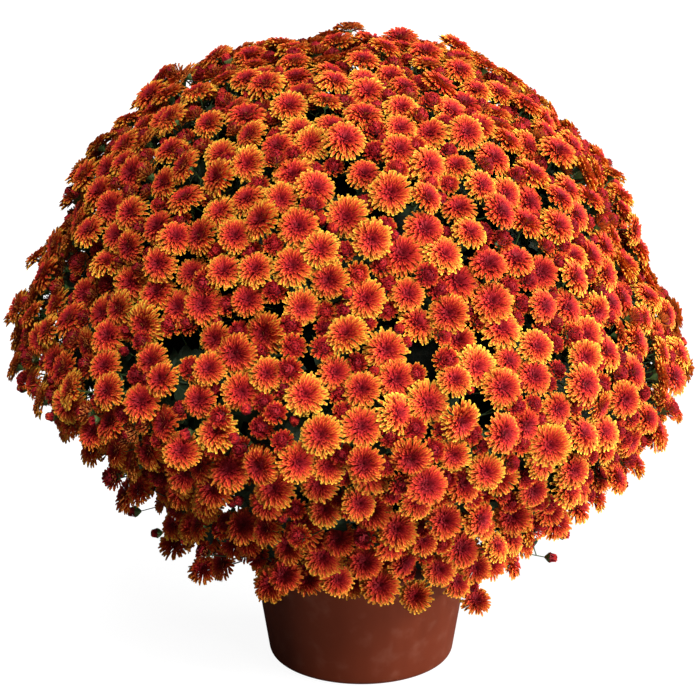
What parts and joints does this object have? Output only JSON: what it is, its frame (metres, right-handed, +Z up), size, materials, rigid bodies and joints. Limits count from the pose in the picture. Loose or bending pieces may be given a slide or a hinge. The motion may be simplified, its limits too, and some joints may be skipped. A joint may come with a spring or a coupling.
{
  "type": "pot chrysanthemum",
  "caption": "Flowering plant in a tapered round pot: a wide dome of rust-orange blooms and buds on forked leafy stems that stand in the pot's soil, for a patio, shelf or table.",
  "frame": {"origin": "centre of the pot's underside, on the surface it stands on", "axes": "+Z up along the pot's axis; -Y towards the picture's camera; +X to the picture's right"},
  "size_m": [0.6831, 0.685, 0.6436],
  "materials": {
    "pot_plastic": "satin",
    "soil_mix": "matte",
    "leaf_green": "matte",
    "petals": "matte"
  },
  "bodies": {
    "root": {"pot": "pot_plastic", "soil": "soil_mix", "leafy_stem_1": "leaf_green", "leafy_stem_2": "leaf_green", "leafy_stem_3": "leaf_green", "leafy_stem_4": "leaf_green", "leafy_stem_5": "leaf_green", "leafy_stem_6": "leaf_green", "leafy_stem_7": "leaf_green", "leafy_stem_8": "leaf_green", "spray_01": "petals", "spray_02": "petals", "spray_03": "petals", "spray_04": "petals", "spray_05": "petals", "spray_06": "petals", "spray_07": "petals", "spray_08": "petals", "spray_09": "petals", "spray_10": "petals", "spray_11": "petals", "spray_12": "petals", "spray_13": "petals", "spray_14": "petals", "spray_15": "petals", "spray_16": "petals", "spray_17": "petals", "spray_18": "petals", "spray_19": "petals", "spray_20": "petals", "spray_21": "petals", "spray_22": "petals", "spray_23": "petals", "spray_24": "petals"}
  },
  "joints": []
}
